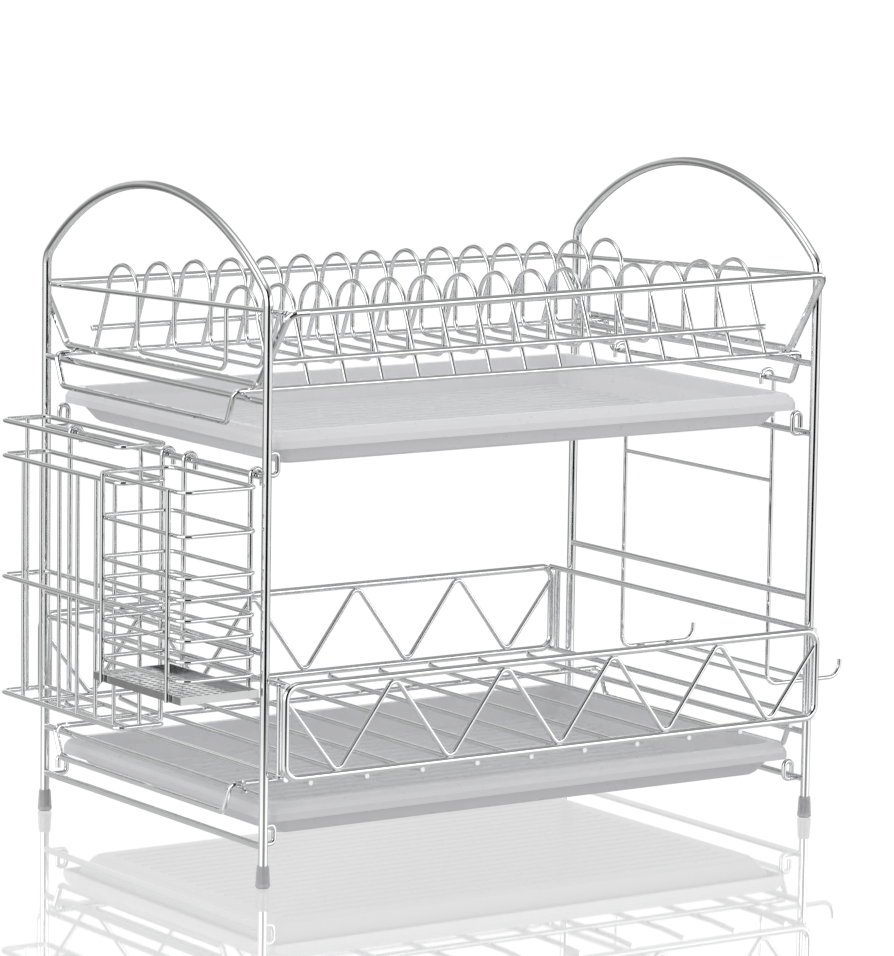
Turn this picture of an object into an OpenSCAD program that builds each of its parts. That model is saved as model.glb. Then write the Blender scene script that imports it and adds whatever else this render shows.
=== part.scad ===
// Two-tier dish drying rack: two arched end hoops, two lift-off wire baskets,
// two slide-out drip trays, and hung cutlery, knife and board holders.
// X is the rack length, Y the depth towards the back, Z up; feet stand on Z = 0.

/* [Frame] */
// distance between the two hoops, wire centres
rack_l = 392; // [340:1:460]
// distance between the front and back legs, wire centres
rack_d = 250; // [220:1:280]
// height of the top of the arch, wire centre
arch_z = 392.8; // [360:0.1:430]
// centreline radius of the arch
arch_r = 176; // [150:1:220]
// small bend where each leg turns into the arch
shoulder_r = 14; // [8:1:24]
// hoop wire diameter
hoop_d = 5.5; // [4:0.1:7]
// cross rail wire diameter
rail_d = 4; // [3:0.1:5]

/* [Rail heights] */
// lowest rail, carries the lower tray
rail_a = 23.6; // [18:0.1:30]
// rail that the lower basket hangs on
rail_b = 52.6; // [46:0.1:60]
// stiffening rail at mid height
rail_c = 136; // [120:1:150]
// rail that carries the upper tray and the side holders
rail_d_z = 237; // [225:0.5:250]
// rail that the upper basket hangs on
rail_e = 279.6; // [270:0.1:290]

/* [Feet] */
// height of the rubber foot cap
foot_h = 13; // [9:0.5:20]
// foot diameter at the floor
foot_d = 8.6; // [7:0.1:14]

/* [Tray ears] */
// ear wire diameter
ear_d = 3; // [2:0.1:4]
// height of the ear above its rail, wire centre
ear_h = 12.8; // [8:0.1:18]
// the same for the lower tray
low_ear_h = 10.8; // [8:0.1:18]
// distance of the ear from the leg
ear_y = 6.6; // [5:0.1:20]

/* [Drip trays] */
// tray length
tray_l = 375.5; // [330:0.5:400]
// tray depth front to back
tray_w = 240; // [200:1:244]
// tray total height
tray_h = 20; // [16:0.5:30]
// depth of the tray body below its lip
tray_drop = 10.3; // [8:0.1:14]
// tray wall thickness
tray_t = 2; // [1.2:0.1:3]
// number of drainage ribs
tray_ribs = 19; // [7:1:25]

/* [Baskets] */
// basket main wire diameter
basket_d = 4.5; // [3:0.1:6]
// thin brace and bar wire diameter
brace_d = 3.5; // [2.5:0.1:4.5]
// how far the rims stand out past the legs
overhang = 14; // [10:0.5:20]
// gap between hoop plane and basket end wires
end_gap = 5.4; // [5:0.1:9]
// how far the hanging wires reach past the hoop plane
hang_out = 7; // [5:0.1:10]
// height of the upper front rim at the left end
rim_front_z = 331.5; // [320:0.5:345]
// how much higher the hand-bent front rim is at the right end
rim_rise = 4; // [0:0.5:6]
// height of the upper back rim
rim_back_z = 322; // [310:1:345]

/* [Plate dividers] */
// number of plate dividers
dividers = 15; // [9:1:19]
// divider pitch along the rack
divider_pitch = 25.3; // [20:0.1:35]
// divider wire diameter
divider_d = 2.6; // [2:0.1:3.5]
// height of the divider loops, wire centre
loop_z = 339; // [325:1:355]
// radius of the divider loops
loop_r = 17.2; // [12:0.1:25]

/* [Lower basket] */
// height of the lower basket rim
lower_rim_z = 118.5; // [100:0.5:140]
// height of the lower front rail
lower_base_z = 65; // [60:0.5:80]
// zigzag pitch along the rack
zig_pitch = 77.7; // [60:0.1:100]
// zigzag wire diameter
zig_d = 3; // [2:0.1:4]
// number of floor wires under the bowls
bowl_wires = 10; // [6:1:16]

/* [Cutlery basket] */
// cutlery basket width
cutlery_w = 49.5; // [40:0.5:70]
// cutlery basket length
cutlery_l = 94.5; // [70:0.5:100]
// height of the cutlery basket floor
cutlery_floor_z = 111.5; // [90:0.5:140]

/* [Knife rack] */
// knife rack width
knife_w = 31.5; // [25:0.5:50]
// knife rack length
knife_l = 137.5; // [100:0.5:150]
// height of the knife rack floor loop
knife_floor_z = 79.6; // [78:0.1:120]

/* [Board holder] */
// height of the board hook floor
board_floor_z = 72; // [60:1:100]
// reach of the board hook past the hanging wire
board_reach = 63; // [40:1:75]
// radius of the curl that hangs the board hook
curl_r = 4.9; // [4:0.1:6]
// distance of the front board hook from the front leg
board_y = 58; // [40:1:70]
// distance between the two board hooks
board_w = 153; // [100:1:155]

/* [Hidden] */
$fn = 32;
mid_x = rack_l / 2;
mid_y = rack_d / 2;
chrome = [0.80, 0.81, 0.83];
white = [0.93, 0.93, 0.95];
rubber = [0.62, 0.62, 0.63];
arch_cz = arch_z - arch_r;
shoulder_z = arch_cz + sqrt(pow(arch_r - shoulder_r, 2) - pow(mid_y - shoulder_r, 2));
arch_a = atan2(shoulder_z - arch_cz, mid_y - shoulder_r);
leg_base = 2.5;
joint = 0.08;
weld = 0.2;
tube_sides = 14;
rim_stub = 12;
hang_stub = 9;
end_x = end_gap;
hang_y = 24;
upper_hang_z = rail_e + rail_d / 2 + brace_d / 2 + 0.3;
upper_drop_z = upper_hang_z - 18.4;
upper_floor_z = upper_hang_z + brace_d / 2 + basket_d / 2 - weld;
lower_hang_z = rail_b + rail_d / 2 + brace_d / 2 + 0.3;
lower_drop_z = lower_hang_z - 17.4;
hook_r = rail_d / 2 + 1.5 + 0.3;
tray_x0 = mid_x - tray_l / 2;
tray_y0 = mid_y - tray_w / 2;
upper_tray_z = rail_d_z + ear_h + ear_d / 2 + 0.3 - tray_drop;
lower_tray_z = rail_a + low_ear_h + ear_d / 2 + 0.3 - tray_drop;
rim_right_z = rim_front_z + rim_rise;
loop_y = 75.4 - loop_r;
loop_cz = loop_z - loop_r;
leg_foot_y = hang_y + 1.2;
leg_foot_z = upper_hang_z + brace_d / 2 - 1.8;
brace_z = 298.5;
hook_tip_x = rack_l + rail_d / 2 + 1.75;
hook_x = hook_tip_x + 2 * curl_r;
cutlery_x1 = -hook_r - 1.5 - 1.25 + weld;
cutlery_x0 = cutlery_x1 - cutlery_w;
cutlery_y0 = -1;
cutlery_levels = [0, 25, 49, 61, 73, 84.5, 96.5, 107.5];
cutlery_top_z = 232;
knife_x1 = -hook_r - 1.5 - 1.5 + weld;
knife_x0 = knife_x1 - knife_w;
knife_y0 = 99;
knife_y1 = knife_y0 + knife_l;
knife_levels = [244.6, 223.6, 150.4, knife_floor_z];

// ---------- wire helpers ----------
function unit(v) = v / norm(v);
function turn(u, v) = acos(max(-1, min(1, u * v)));
function side(u, v) = unit(v - (v * u) * u);

// straight round wire from a to b
module rod(a, b, d) {
    v = b - a;
    translate(a) rotate([0, acos(v.z / norm(v)), atan2(v.y, v.x)]) cylinder(h = norm(v), d = d);
}

// turns local x to ax and local y to ay, then draws the children
module frame_to(ax, ay) {
    az = cross(ax, ay);
    flat = sqrt(ax.x * ax.x + ax.y * ax.y);
    ry = atan2(-ax.z, flat);
    rx = flat > 0.0001 ? atan2(ay.z, az.z) : atan2(-az.y, ay.y);
    rz = flat > 0.0001 ? atan2(ax.y, ax.x) : 0;
    rotate([rx, ry, rz]) children();
}

// round bend at corner p between the points a and b
module bend(a, p, b, d, r) {
    u = unit(p - a);
    v = unit(b - p);
    w = side(u, v);
    t = turn(u, v);
    translate(p - u * r * tan(t / 2) + w * r)
        frame_to(-w, u) rotate_extrude(angle = t) translate([r, 0]) circle(d = d);
}

// length a bend of radius r takes off each side of corner p
function cut(a, p, b, r) = r * tan(turn(unit(p - a), unit(b - p)) / 2);

// round wire through the points, with a bend at each inner corner; a skewed wire
// gets a ball at each joint
module wire(pts, d, r, closed = false, skew = false) {
    n = len(pts);
    last = closed ? n - 1 : n - 2;
    for (i = [0:last]) {
        a = pts[i];
        b = pts[(i + 1) % n];
        u = unit(b - a);
        ca = (closed || i > 0) ? cut(pts[(i + n - 1) % n], a, b, r) : 0;
        cb = (closed || i < n - 2) ? cut(a, b, pts[(i + 2) % n], r) : 0;
        rod(a + u * ca, b - u * cb, d);
        if (closed || i < n - 2) bend(a, b, pts[(i + 2) % n], d, r);
        if (skew && ca > 0) translate(a + u * ca) sphere(d = d + joint);
        if (skew && cb > 0) translate(b - u * cb) sphere(d = d + joint);
    }
}

// points along the bend at corner p
function bend_points(a, p, b, r, n) =
    let (u = unit(p - a), v = unit(b - p), w = side(u, v), t = turn(u, v))
    let (c = p - u * r * tan(t / 2) + w * r)
    [for (k = [0:n]) c - w * r * cos(k * t / n) + u * r * sin(k * t / n)];

// the whole centreline: end points and every bend, one radius per inner corner
function centreline(pts, radii, n) = concat([pts[0]],
    [for (i = [1:len(pts) - 2]) each bend_points(pts[i - 1], pts[i], pts[i + 1], radii[i - 1], n)],
    [pts[len(pts) - 1]]);

// carries a ring of points along u to the mitre plane through p
function carried(ring, p, u, n) = [for (q = ring) q + u * ((p - q) * n / (u * n))];

function swept(path, ring, i) = i >= len(path) ? [] :
    let (u = unit(path[i] - path[i - 1]))
    let (v = i < len(path) - 1 ? unit(path[i + 1] - path[i]) : u)
    let (next = carried(ring, path[i], u, u + v))
    concat(next, swept(path, next, i + 1));

// wire bent in several planes, mitred in short steps so that every bend closes
module tube(pts, d, radii) {
    m = tube_sides;
    path = centreline(pts, radii, 5);
    n = len(path);
    u = unit(path[1] - path[0]);
    e = unit(cross(u, abs(u.z) < 0.9 ? [0, 0, 1] : [1, 0, 0]));
    f = cross(u, e);
    // the polygon has the round wire's area
    rr = d / 2 * sqrt(2 * PI / (m * sin(360 / m)));
    start = [for (j = [0:m - 1]) path[0] + rr * (cos(j * 360 / m) * e + sin(j * 360 / m) * f)];
    polyhedron(concat(start, swept(path, start, 1)), concat(
        [[for (j = [0:m - 1]) j]],
        [[for (j = [0:m - 1]) (n - 1) * m + m - 1 - j]],
        [for (i = [0:n - 2], j = [0:m - 1]) [i * m + j, (i + 1) * m + j, (i + 1) * m + (j + 1) % m]],
        [for (i = [0:n - 2], j = [0:m - 1])
            [i * m + j, (i + 1) * m + (j + 1) % m, i * m + (j + 1) % m]]));
}

// arc of wire in the YZ plane
module arc_yz(x, y, z, r, a0, a1, d) {
    translate([x, y, z]) rotate([90, 0, 90]) rotate([0, 0, a0])
        rotate_extrude(angle = a1 - a0) translate([r, 0]) circle(d = d);
}

// ---------- frame ----------
module hoop(x) {
    color(chrome) {
        rod([x, 0, leg_base], [x, 0, shoulder_z], hoop_d);
        rod([x, rack_d, leg_base], [x, rack_d, shoulder_z], hoop_d);
        arc_yz(x, shoulder_r, shoulder_z, shoulder_r, 180 - arch_a, 180, hoop_d);
        arc_yz(x, rack_d - shoulder_r, shoulder_z, shoulder_r, 0, arch_a, hoop_d);
        arc_yz(x, mid_y, arch_cz, arch_r, arch_a, 180 - arch_a, hoop_d);
        for (s = [-1, 1]) {
            translate([x, mid_y + s * arch_r * cos(arch_a), arch_cz + arch_r * sin(arch_a)])
                sphere(d = hoop_d + joint);
            translate([x, mid_y + s * mid_y, shoulder_z]) sphere(d = hoop_d + joint);
        }
    }
}

module rail(x, z) {
    color(chrome) rod([x, hoop_d / 2 - 0.4, z], [x, rack_d - hoop_d / 2 + 0.4, z], rail_d);
}

// hairpin ears that carry a tray flange, welded to a rail; s points into the rack
module ears(x, z, s, h) {
    root = rail_d / 2 - weld;
    color(chrome) for (y = [ear_y, rack_d - ear_y])
        wire([[x + s * root, y, z], [x + s * 11.4, y, z], [x + s * 11.4, y, z + h],
            [x + s * 5.4, y, z + h], [x + s * 5.4, y, z + 3.6]], ear_d, 2.9);
}

module foot(x, y) {
    color(rubber) difference() {
        union() {
            translate([x, y, 1]) cylinder(h = 4, d1 = foot_d, d2 = foot_d - 0.6);
            translate([x, y, 0]) cylinder(h = 1, d1 = foot_d - 1.6, d2 = foot_d);
            translate([x, y, 5]) cylinder(h = foot_h - 6, d1 = foot_d - 0.6, d2 = foot_d - 1.4);
            translate([x, y, foot_h - 1]) cylinder(h = 1, d1 = foot_d - 1.4, d2 = foot_d - 2.2);
        }
        translate([x, y, leg_base]) cylinder(h = foot_h, d = hoop_d);
    }
}

// ---------- upper basket ----------
// end of the upper rim: down to the floor, back along it and up; s points into the rack
module upper_rim_end(x, s, z) {
    color(chrome) tube([
        [x + s * rim_stub, -overhang, z], [x, -overhang, z],
        [x, 18, upper_floor_z], [x, rack_d - 16, upper_floor_z],
        [x, rack_d + overhang, rim_back_z], [x + s * rim_stub, rack_d + overhang, rim_back_z]],
        basket_d, [6, 7, 7, 6]);
}

module upper_rim_run(y, z0, z1) {
    color(chrome) rod([end_x + rim_stub, y, z0], [rack_l - end_x - rim_stub, y, z1], basket_d);
}

module upper_end_bar(x, z) {
    dz = (rim_back_z - z) / (rack_d + 2 * overhang);
    color(chrome) rod([x, -overhang + 3, z + 3 * dz],
        [x, rack_d + overhang - 3, rim_back_z - 3 * dz], 3);
}

// hanging wire: two long runs over the end rails, joined outside them at a lower level
module hanger_run(y, z) {
    color(chrome) rod([hang_stub - hang_out, y, z], [rack_l + hang_out - hang_stub, y, z], brace_d);
}

module hanger_end(x, s, z_run, z_drop) {
    color(chrome) tube([
        [x + s * hang_stub, hang_y, z_run], [x, hang_y, z_run], [x, hang_y + 8, z_drop],
        [x, rack_d - hang_y - 8, z_drop], [x, rack_d - hang_y, z_run],
        [x + s * hang_stub, rack_d - hang_y, z_run]], brace_d, [4, 4, 4, 4]);
}

// where a brace at height z lies against the leaning outer legs of the dividers
function brace_y(z) = leg_foot_y + (loop_y - loop_r - leg_foot_y) * (z - leg_foot_z) / (loop_cz - leg_foot_z)
    - (brace_d + divider_d) / 2 - 0.05;

module upper_brace() {
    half = (dividers - 1) * divider_pitch / 2;
    z1 = brace_z + rim_rise / 2;
    color(chrome) rod([mid_x - half - 4, brace_y(brace_z), brace_z],
        [mid_x + half + 1.6, brace_y(z1), z1], brace_d);
}

module plate_divider(x) {
    za = upper_floor_z + 1.5;
    // front outer leg leans out, inner leg drops to the floor run, mirrored at the back
    for (m = [0, 1]) translate([0, m * rack_d, 0]) mirror([0, m, 0]) {
        arc_yz(x, loop_y, loop_cz, loop_r, 0, 180, divider_d);
        rod([x, loop_y - loop_r, loop_cz], [x, leg_foot_y, leg_foot_z], divider_d);
        translate([x, loop_y - loop_r, loop_cz]) sphere(d = divider_d + joint);
        wire([[x, loop_y + loop_r, loop_cz], [x, loop_y + loop_r, za], [x, mid_y, za]], divider_d, 7);
    }
}

module plate_dividers() {
    half = (dividers - 1) * divider_pitch / 2;
    color(chrome) for (i = [0:dividers - 1]) plate_divider(mid_x - half + i * divider_pitch);
}

// ---------- lower basket ----------
module lower_panel(y) {
    color(chrome) wire([
        [end_x, y, lower_base_z], [rack_l - end_x, y, lower_base_z],
        [rack_l - end_x, y, lower_rim_z], [end_x, y, lower_rim_z]], basket_d, 8, true);
}

module zigzag(y) {
    n = round((rack_l - 2 * end_x) / zig_pitch);
    lo = lower_base_z + 0.4;
    hi = lower_rim_z - 0.4;
    end_z = lower_rim_z - 8;
    x0 = mid_x - (n - 1) * zig_pitch / 2;
    pts = concat([[end_x, y, end_z]],
        [for (i = [0:2 * n - 2]) [x0 + i * zig_pitch / 2, y, i % 2 == 0 ? lo : hi]],
        [[rack_l - end_x, y, end_z]]);
    color(chrome) wire(pts, zig_d, 4.5, false, true);
}

// end rectangle whose long wires run on to the corners of both panels
module lower_end(x) {
    color(chrome) {
        for (z = [lower_base_z, lower_rim_z])
            rod([x, -overhang, z], [x, rack_d + overhang, z], brace_d);
        for (y = [-6, rack_d + 6]) rod([x, y, lower_base_z], [x, y, lower_rim_z], brace_d);
    }
}

// floor wires lie on the hanger and rise a little to meet the panels
module bowl_floor_wires() {
    pitch = (rack_l - 46) / (bowl_wires - 1);
    z = lower_hang_z + brace_d / 2 + 1.5 - weld;
    z_end = lower_base_z - basket_d / 2 - 1.5 + weld;
    color(chrome) for (i = [0:bowl_wires - 1]) translate([23 + i * pitch, 0, 0]) {
        rod([0, 10, z], [0, rack_d - 10, z], 3);
        for (m = [0, 1]) translate([0, m * rack_d, 0]) mirror([0, m, 0]) {
            rod([0, 10, z], [0, -overhang, z_end], 3);
            translate([0, 10, z]) sphere(d = 3 + joint);
        }
    }
}

// ---------- trays ----------
// rounded rectangle of the tray plan, drawn in by an inset
function tray_ring(inset, z, r) = [for (k = [0:3], a = [0:8])
    let (cx = (k == 0 || k == 3) ? tray_l - inset - r : inset + r)
    let (cy = k < 2 ? tray_w - inset - r : inset + r)
    [cx + r * cos(k * 90 + a * 11.25), cy + r * sin(k * 90 + a * 11.25), z]];

// open shell with a rounded turned-down lip all round and drainage ribs along the floor;
// the profile runs from the underside out over the lip and down to the floor
module tray(z) {
    d = tray_drop;
    t = tray_t;
    h = tray_h;
    profile = [[14.4, 0, 8], [12.4, 1.6, 8], [6.4, d, 8], [6.4, h - t, 8], [4.4, h - t, 5],
        [3, h - t - 1.2, 4], [t, d + 4, 4], [t, d, 4], [0, d, 5], [0, d + 4.2, 5],
        [1.2, d + 7.2, 5], [3.6, h, 5], [8, h, 7], [8.4, d + t, 7], [15.4, t, 7]];
    n = len(profile);
    m = 36;
    color(white) translate([tray_x0, tray_y0, z]) {
        polyhedron([for (q = profile) each tray_ring(q.x, q.y, q.z)], concat(
            [[for (j = [0:m - 1]) j]],
            [[for (j = [0:m - 1]) (n - 1) * m + m - 1 - j]],
            [for (i = [0:n - 2], j = [0:m - 1]) [i * m + j, (i + 1) * m + j, (i + 1) * m + (j + 1) % m]],
            [for (i = [0:n - 2], j = [0:m - 1])
                [i * m + j, (i + 1) * m + (j + 1) % m, i * m + (j + 1) % m]]));
        for (i = [0:tray_ribs - 1]) hull() for (x = [25, tray_l - 25])
            translate([x, 25 + i * (tray_w - 50) / (tray_ribs - 1), t - 0.6]) sphere(r = 2, $fn = 16);
    }
}

// ---------- cutlery basket ----------
module cutlery_loops() {
    color(chrome) for (dz = cutlery_levels)
        wire([[cutlery_x0, cutlery_y0, cutlery_top_z - dz], [cutlery_x1, cutlery_y0, cutlery_top_z - dz],
            [cutlery_x1, cutlery_y0 + cutlery_l, cutlery_top_z - dz],
            [cutlery_x0, cutlery_y0 + cutlery_l, cutlery_top_z - dz]], 2.5, 7, true);
}

// upright that hooks over the tray rail
module rail_hook(y, z_foot) {
    rod([-hook_r, y, z_foot], [-hook_r, y, rail_d_z], 3);
    translate([0, y, rail_d_z]) rotate([90, 0, 0])
        rotate_extrude(angle = 180) translate([hook_r, 0]) circle(d = 3);
    rod([hook_r, y, rail_d_z - 6], [hook_r, y, rail_d_z], 3);
}

module cutlery_uprights() {
    xo = cutlery_x0 - 2.5;
    color(chrome) for (y = [cutlery_y0 + 12, cutlery_y0 + cutlery_l - 10])
        rod([xo, y, cutlery_floor_z], [xo, y, cutlery_top_z + 1], 3);
}

module cutlery_hooks() {
    color(chrome) for (y = [cutlery_y0 + 12, cutlery_y0 + cutlery_l - 10])
        rail_hook(y, cutlery_floor_z);
}

module cutlery_floor() {
    x0 = cutlery_x0 - 1.2;
    x1 = cutlery_x1 + 1.25;
    y0 = cutlery_y0 - 1;
    y1 = cutlery_y0 + cutlery_l + 1;
    px = (x1 - x0 - 8) / 8;
    py = (y1 - y0 - 8) / 16;
    color(chrome) translate([0, 0, cutlery_floor_z]) {
        linear_extrude(1) difference() {
            translate([x0, y0]) square([x1 - x0, y1 - y0]);
            for (i = [0:7], j = [0:15])
                translate([x0 + 4 + (i + 0.5) * px, y0 + 4 + (j + 0.5) * py]) circle(d = 3.6);
        }
        linear_extrude(4.5) difference() {
            translate([x0, y0]) square([x1 - x0, y1 - y0]);
            translate([x0 + 1, y0 + 1]) square([x1 - x0 - 2, y1 - y0 - 2]);
        }
    }
}

// ---------- knife rack ----------
module knife_loops() {
    color(chrome) for (z = knife_levels)
        wire([[knife_x0, knife_y0, z], [knife_x1, knife_y0, z],
            [knife_x1, knife_y1, z], [knife_x0, knife_y1, z]], 3, 5, true);
}

module knife_uprights() {
    color(chrome) {
        for (i = [0:5]) rod([knife_x0 + 2.5, knife_y0 + 9 + i * 21.3, knife_floor_z],
            [knife_x0 + 2.5, knife_y0 + 9 + i * 21.3, knife_levels[1]], 2.5);
        for (y = [knife_y0 + 2.5, knife_y1 - 2.5])
            rod([knife_x0 + 16, y, knife_floor_z], [knife_x0 + 16, y, knife_levels[0]], 2.5);
    }
}

module knife_hooks() {
    color(chrome) for (y = [knife_y0 + 9, knife_y1 - 22]) rail_hook(y, knife_floor_z);
}

module knife_floor() {
    color(chrome) for (i = [1:3])
        rod([knife_x0, knife_y0 + i * knife_l / 4, knife_floor_z],
            [knife_x1, knife_y0 + i * knife_l / 4, knife_floor_z], 2.5);
}

// ---------- board holder ----------
// hangs by its curl on the dropped end wire of the upper basket, clear of the rail above
module board_hook(y) {
    xr = rack_l + hang_out;
    zc = upper_drop_z - 0.4;
    r = curl_r - 0.1;
    color(chrome) tube([[hook_tip_x, y, zc - 4], [hook_tip_x, y, zc + curl_r],
        [hook_x, y, zc + curl_r], [hook_x, y, board_floor_z],
        [xr + board_reach, y, board_floor_z], [xr + board_reach + 1, y, board_floor_z + 11]],
        2.6, [r, r, 7, 8]);
}

module board_cross_wires() {
    y1 = board_y + board_w;
    color(chrome) {
        for (z = [133, 200]) rod([hook_x, board_y, z], [hook_x, y1, z], 2.5);
        for (x = [14, 37])
            rod([hook_x + x, board_y, board_floor_z], [hook_x + x, y1, board_floor_z], 2.5);
    }
}

hoop(0);  // left_hoop
hoop(rack_l);  // right_hoop
rail(0, rail_a);  // left_rail_low
rail(0, rail_b);  // left_rail_basket
rail(0, rail_c);  // left_rail_mid
rail(0, rail_d_z);  // left_rail_tray
rail(0, rail_e);  // left_rail_upper
rail(rack_l, rail_a);  // right_rail_low
rail(rack_l, rail_b);  // right_rail_basket
rail(rack_l, rail_c);  // right_rail_mid
rail(rack_l, rail_d_z);  // right_rail_tray
rail(rack_l, rail_e);  // right_rail_upper
ears(0, rail_a, 1, low_ear_h);  // left_ears_low
ears(0, rail_d_z, 1, ear_h);  // left_ears_tray
ears(rack_l, rail_a, -1, low_ear_h);  // right_ears_low
ears(rack_l, rail_d_z, -1, ear_h);  // right_ears_tray
foot(0, 0);  // foot_front_left
foot(rack_l, 0);  // foot_front_right
foot(0, rack_d);  // foot_back_left
foot(rack_l, rack_d);  // foot_back_right
upper_rim_run(-overhang, rim_front_z, rim_right_z);  // upper_rim_front
upper_rim_run(rack_d + overhang, rim_back_z, rim_back_z);  // upper_rim_back
upper_rim_end(end_x, 1, rim_front_z);  // upper_rim_left
upper_rim_end(rack_l - end_x, -1, rim_right_z);  // upper_rim_right
upper_end_bar(end_x, rim_front_z);  // upper_end_bar_left
upper_end_bar(rack_l - end_x, rim_right_z);  // upper_end_bar_right
hanger_run(hang_y, upper_hang_z);  // upper_hanger_front
hanger_run(rack_d - hang_y, upper_hang_z);  // upper_hanger_back
hanger_end(-hang_out, 1, upper_hang_z, upper_drop_z);  // upper_hanger_left
hanger_end(rack_l + hang_out, -1, upper_hang_z, upper_drop_z);  // upper_hanger_right
upper_brace();  // upper_brace_front
translate([0, rack_d, 0]) mirror([0, 1, 0]) upper_brace();  // upper_brace_back
plate_dividers();
lower_panel(-overhang);  // lower_front_panel
lower_panel(rack_d + overhang);  // lower_back_panel
zigzag(-overhang);  // lower_front_zigzag
zigzag(rack_d + overhang);  // lower_back_zigzag
lower_end(end_x + 0.8);  // lower_end_left
lower_end(rack_l - end_x - 0.8);  // lower_end_right
hanger_run(hang_y, lower_hang_z);  // lower_hanger_front
hanger_run(rack_d - hang_y, lower_hang_z);  // lower_hanger_back
hanger_end(-hang_out, 1, lower_hang_z, lower_drop_z);  // lower_hanger_left
hanger_end(rack_l + hang_out, -1, lower_hang_z, lower_drop_z);  // lower_hanger_right
bowl_floor_wires();
tray(upper_tray_z);  // upper_tray
tray(lower_tray_z);  // lower_tray
cutlery_loops();
cutlery_uprights();
cutlery_hooks();
cutlery_floor();
knife_loops();
knife_uprights();
knife_hooks();
knife_floor();
board_hook(board_y);  // board_hook_front
board_hook(board_y + board_w);  // board_hook_back
board_cross_wires();
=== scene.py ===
import math

import bpy
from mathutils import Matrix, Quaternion, Vector


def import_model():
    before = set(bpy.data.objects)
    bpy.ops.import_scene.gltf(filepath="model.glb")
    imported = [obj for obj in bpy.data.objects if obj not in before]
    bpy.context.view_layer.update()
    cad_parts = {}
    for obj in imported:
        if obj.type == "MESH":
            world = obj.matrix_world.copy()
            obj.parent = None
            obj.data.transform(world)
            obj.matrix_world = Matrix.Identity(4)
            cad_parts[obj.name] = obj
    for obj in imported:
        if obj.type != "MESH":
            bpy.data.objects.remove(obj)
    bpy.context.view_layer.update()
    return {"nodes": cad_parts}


# ---------- settings, in metres unless said otherwise ----------
CAMERA_PLACE = (-1.5758, -2.4947, 0.6650)
CAMERA_TARGET = (0.20841, 0.1250, 0.20658)
CAMERA_ROLL = 0.8645  # degrees
CAMERA_LENS = 198.43  # mm
SENSOR_WIDTH = 36  # mm
CLIP_END = 200

# the floor: how far it reaches, and the ring round the rack where its glow changes
FLOOR_REACH = 40
FLOOR_DROP = 0.0002
FLOOR_CENTRE = (0.2, 0.125, 0)
FLOOR_RING = (0.35, 0.8)
# glow inside and outside the ring, as mirrored by the wires and as it lights matt parts; the lower matt glow
# inside the ring is painted shade, standing in for the shadow the rack casts on the floor under it
FLOOR_MIRRORED = (0.65, 0.0)
FLOOR_MATT_PAINTED_SHADE = (0.298, 1.0)
# share of mirror in the floor at the camera's low angle, where the facing value is FLOOR_GRAZE
FLOOR_GLOSS = 0.5
FLOOR_GRAZE = 0.86
FLOOR_ROUGHNESS = 0.03

# soft white boxes and dark gaps round the studio: azimuth, half width, soft edge, highest z, brightness
STUDIO = [
    (56, 34, 12, 0.55, 1.06),
    (122, 26, 10, 0.50, 0.6),
    (-170, 34, 10, 0.72, 2.0),
    (-48, 32, 10, 0.48, 1.95),
    (-109, 24, 7, 0.90, 0.01),
]
STUDIO_BASE = 0.34
STUDIO_TOP = 0.8
STUDIO_TOP_EDGE = (0.80, 0.95)
STUDIO_LOW_EDGE = 0.15
# matt parts see the studio mixed this far towards one even brightness
FILL = 0.85
FILL_SHARE = 0.6

LAMP_PLACE = (0.1, 0.0, 2.4)
LAMP_AIM = (0.2, 0.125, 0.2)
LAMP_SIZE = (1.6, 1.2)
LAMP_POWER = 3  # W

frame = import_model()
nodes = frame["nodes"]


# ---------- node helpers ----------
def empty_material(name):
    mat = bpy.data.materials.new(name)
    mat.use_nodes = True
    tree = mat.node_tree
    tree.nodes.clear()
    return mat, tree, tree.nodes.new("ShaderNodeOutputMaterial")


def principled(name):
    mat, tree, out = empty_material(name)
    bsdf = tree.nodes.new("ShaderNodeBsdfPrincipled")
    tree.links.new(bsdf.outputs[0], out.inputs["Surface"])
    return mat, tree, bsdf


def feed(tree, socket, value):
    # a number is set on the socket, an output is linked to it
    if isinstance(value, (int, float)):
        socket.default_value = value
    else:
        tree.links.new(value, socket)


def math_node(tree, kind, *args):
    node = tree.nodes.new("ShaderNodeMath")
    node.operation = kind
    for socket, value in zip(node.inputs, args):
        feed(tree, socket, value)
    return node.outputs[0]


def step(tree, value, lo, hi):
    node = tree.nodes.new("ShaderNodeMapRange")
    node.interpolation_type = "SMOOTHSTEP"
    node.inputs["From Min"].default_value = lo
    node.inputs["From Max"].default_value = hi
    tree.links.new(value, node.inputs["Value"])
    return node.outputs[0]


def mix(tree, fac, a, b):
    node = tree.nodes.new("ShaderNodeMix")
    tree.links.new(fac, node.inputs["Factor"])
    feed(tree, node.inputs[2], a)
    feed(tree, node.inputs[3], b)
    return node.outputs[0]


def noise(tree, scale, detail):
    coord = tree.nodes.new("ShaderNodeTexCoord")
    tex = tree.nodes.new("ShaderNodeTexNoise")
    tex.inputs["Scale"].default_value = scale
    tex.inputs["Detail"].default_value = detail
    tree.links.new(coord.outputs["Object"], tex.inputs["Vector"])
    return tex.outputs["Fac"]


def clouds(tree, socket, scale, detail, low, high, high_at=0.7):
    # a colour that drifts from low to high with a noise of the given scale
    node = tree.nodes.new("ShaderNodeValToRGB")
    for item, place, colour in zip(node.color_ramp.elements, (0.3, high_at), (low, high)):
        item.position = place
        item.color = (*colour, 1)
    tree.links.new(noise(tree, scale, detail), node.inputs[0])
    tree.links.new(node.outputs["Color"], socket)


def bump(tree, bsdf, scale, strength, distance):
    node = tree.nodes.new("ShaderNodeBump")
    node.inputs["Strength"].default_value = strength
    node.inputs["Distance"].default_value = distance
    tree.links.new(noise(tree, scale, 2), node.inputs["Height"])
    tree.links.new(node.outputs[0], bsdf.inputs["Normal"])


def grey(v):
    return (v, v, v)


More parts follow.
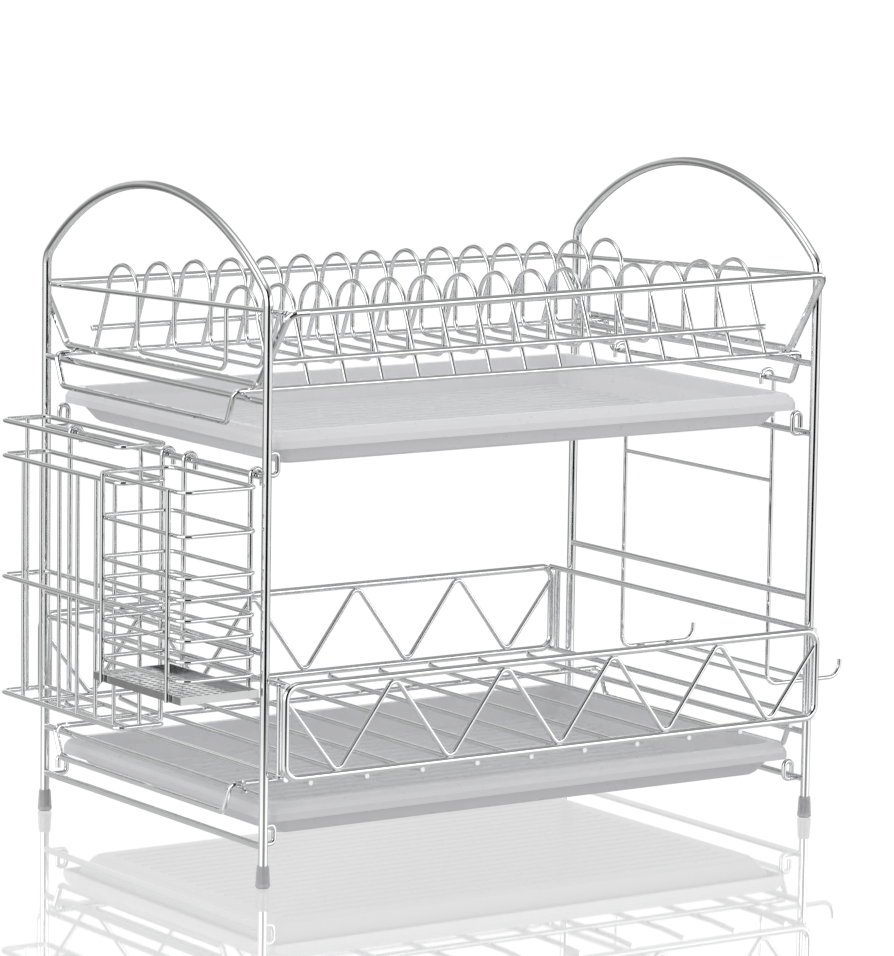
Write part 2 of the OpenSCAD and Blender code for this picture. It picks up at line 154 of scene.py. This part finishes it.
# ---------- materials ----------
def plated(name, light, rough_low, rough_high):
    mat, tree, bsdf = principled(name)
    bright = (light * 0.99, light, light * 1.01)
    clouds(tree, bsdf.inputs["Base Color"], 60, 4, grey(light * 0.94), bright)
    clouds(tree, bsdf.inputs["Roughness"], 220, 3, grey(rough_low), grey(rough_high), 0.75)
    bsdf.inputs["Metallic"].default_value = 1.0
    bump(tree, bsdf, 160, 0.05, 0.0001)
    return mat


def moulded_plastic():
    mat, tree, bsdf = principled("tray_plastic")
    clouds(tree, bsdf.inputs["Base Color"], 9, 2, (0.885, 0.885, 0.905), (0.90, 0.90, 0.92))
    clouds(tree, bsdf.inputs["Roughness"], 240, 3, grey(0.27), grey(0.33))
    bsdf.inputs["Subsurface Weight"].default_value = 0.15
    bsdf.inputs["Subsurface Radius"].default_value = (0.004, 0.004, 0.005)
    bsdf.inputs["Coat Weight"].default_value = 0.15
    bsdf.inputs["Coat Roughness"].default_value = 0.15
    bump(tree, bsdf, 900, 0.02, 0.0001)
    return mat


def cap_rubber():
    mat, tree, bsdf = principled("foot_rubber")
    clouds(tree, bsdf.inputs["Base Color"], 300, 3, (0.58, 0.58, 0.60), (0.68, 0.68, 0.70))
    bsdf.inputs["Roughness"].default_value = 0.3
    bsdf.inputs["Alpha"].default_value = 0.62
    bump(tree, bsdf, 1500, 0.15, 0.0002)
    return mat


def pale_floor():
    # white to the camera with a mirror over it; other rays meet a glow that changes across the ring
    mat, tree, out = empty_material("floor")
    coord = tree.nodes.new("ShaderNodeTexCoord")
    away = tree.nodes.new("ShaderNodeVectorMath")
    away.operation = "DISTANCE"
    away.inputs[1].default_value = FLOOR_CENTRE
    tree.links.new(coord.outputs["Object"], away.inputs[0])
    outside = step(tree, away.outputs["Value"], *FLOOR_RING)
    path = tree.nodes.new("ShaderNodeLightPath")
    # painted shade: for matt rays the floor gives off less light inside the ring than round it, standing in for
    # the rack's own shadow on the floor under it
    level = mix(tree, path.outputs["Is Diffuse Ray"],
                mix(tree, outside, *FLOOR_MIRRORED), mix(tree, outside, *FLOOR_MATT_PAINTED_SHADE))
    glow = tree.nodes.new("ShaderNodeEmission")
    glow.inputs["Color"].default_value = (1, 1, 1, 1)
    tree.links.new(mix(tree, path.outputs["Is Camera Ray"], level, 1.0), glow.inputs["Strength"])
    gloss = tree.nodes.new("ShaderNodeBsdfGlossy")
    gloss.inputs["Color"].default_value = (1, 1, 1, 1)
    gloss.inputs["Roughness"].default_value = FLOOR_ROUGHNESS
    # a polished floor mirrors most at a low angle
    facing = tree.nodes.new("ShaderNodeLayerWeight")
    share = math_node(tree, "MULTIPLY", facing.outputs["Facing"], FLOOR_GLOSS / FLOOR_GRAZE)
    both = tree.nodes.new("ShaderNodeMixShader")
    tree.links.new(share, both.inputs[0])
    tree.links.new(glow.outputs[0], both.inputs[1])
    tree.links.new(gloss.outputs[0], both.inputs[2])
    tree.links.new(both.outputs[0], out.inputs["Surface"])
    return mat


wire = plated("plated_wire", 0.84, 0.03, 0.09)
sheet = plated("perforated_sheet", 0.66, 0.14, 0.22)
plastic = moulded_plastic()
rubber = cap_rubber()
by_node = {"upper_tray": plastic, "lower_tray": plastic, "cutlery_floor": sheet}
for name, obj in nodes.items():
    obj.data.materials.clear()
    obj.data.materials.append(rubber if name.startswith("foot_") else by_node.get(name, wire))


# ---------- studio ----------
def add_object(name, data):
    obj = bpy.data.objects.new(name, data)
    bpy.context.scene.collection.objects.link(obj)
    return obj


def floor():
    mesh = bpy.data.meshes.new("floor")
    s = FLOOR_REACH
    mesh.from_pydata([(-s, -s, 0), (s, -s, 0), (s, s, 0), (-s, s, 0)], [], [(0, 1, 2, 3)])
    mesh.materials.append(pale_floor())
    obj = add_object("floor", mesh)
    obj.location.z = -FLOOR_DROP


def aim(obj, place, target, roll=0.0):
    obj.location = place
    obj.rotation_mode = "QUATERNION"
    turn = (Vector(target) - Vector(place)).to_track_quat("-Z", "Y")
    obj.rotation_quaternion = turn @ Quaternion((0, 0, 1), math.radians(roll))


def camera():
    cam = bpy.data.cameras.new("camera")
    cam.lens = CAMERA_LENS
    cam.sensor_width = SENSOR_WIDTH
    cam.clip_end = CLIP_END
    obj = add_object("camera", cam)
    aim(obj, CAMERA_PLACE, CAMERA_TARGET, CAMERA_ROLL)
    bpy.context.scene.camera = obj


def world():
    studio = bpy.data.worlds.new("studio")
    studio.use_nodes = True
    bpy.context.scene.world = studio
    tree = studio.node_tree
    coord = tree.nodes.new("ShaderNodeTexCoord")
    split = tree.nodes.new("ShaderNodeSeparateXYZ")
    tree.links.new(coord.outputs["Generated"], split.inputs[0])
    x, y, z = split.outputs
    # length of the ray's level part, kept above 0
    squares = [math_node(tree, "MULTIPLY", v, v) for v in (x, y)]
    flat = math_node(tree, "SQRT", math_node(tree, "ADD", squares[0], math_node(tree, "ADD", squares[1], 1e-6)))
    down = math_node(tree, "MULTIPLY", z, -1)
    level = mix(tree, step(tree, z, *STUDIO_TOP_EDGE), STUDIO_BASE, STUDIO_TOP)
    for azimuth, half, soft, top, brightness in STUDIO:
        a = math.radians(azimuth)
        along = math_node(tree, "ADD", math_node(tree, "MULTIPLY", x, math.cos(a)),
                          math_node(tree, "MULTIPLY", y, math.sin(a)))
        mask = step(tree, math_node(tree, "DIVIDE", along, flat),
                    math.cos(math.radians(half + soft)), math.cos(math.radians(half)))
        below = step(tree, down, -top, -top + STUDIO_LOW_EDGE)
        level = mix(tree, math_node(tree, "MULTIPLY", mask, below), level, brightness)
    # matt surfaces are lit more evenly than the wires mirror
    path = tree.nodes.new("ShaderNodeLightPath")
    level = mix(tree, math_node(tree, "MULTIPLY", path.outputs["Is Diffuse Ray"], FILL_SHARE), level, FILL)
    tree.links.new(level, tree.nodes["Background"].inputs["Color"])
    tree.nodes["Background"].inputs["Strength"].default_value = 1.0


def lamp():
    light = bpy.data.lights.new("top", "AREA")
    light.shape = "RECTANGLE"
    light.size, light.size_y = LAMP_SIZE
    light.energy = LAMP_POWER
    aim(add_object("top", light), LAMP_PLACE, LAMP_AIM)


floor()
camera()
world()
lamp()
bpy.context.scene.view_settings.view_transform = "Standard"
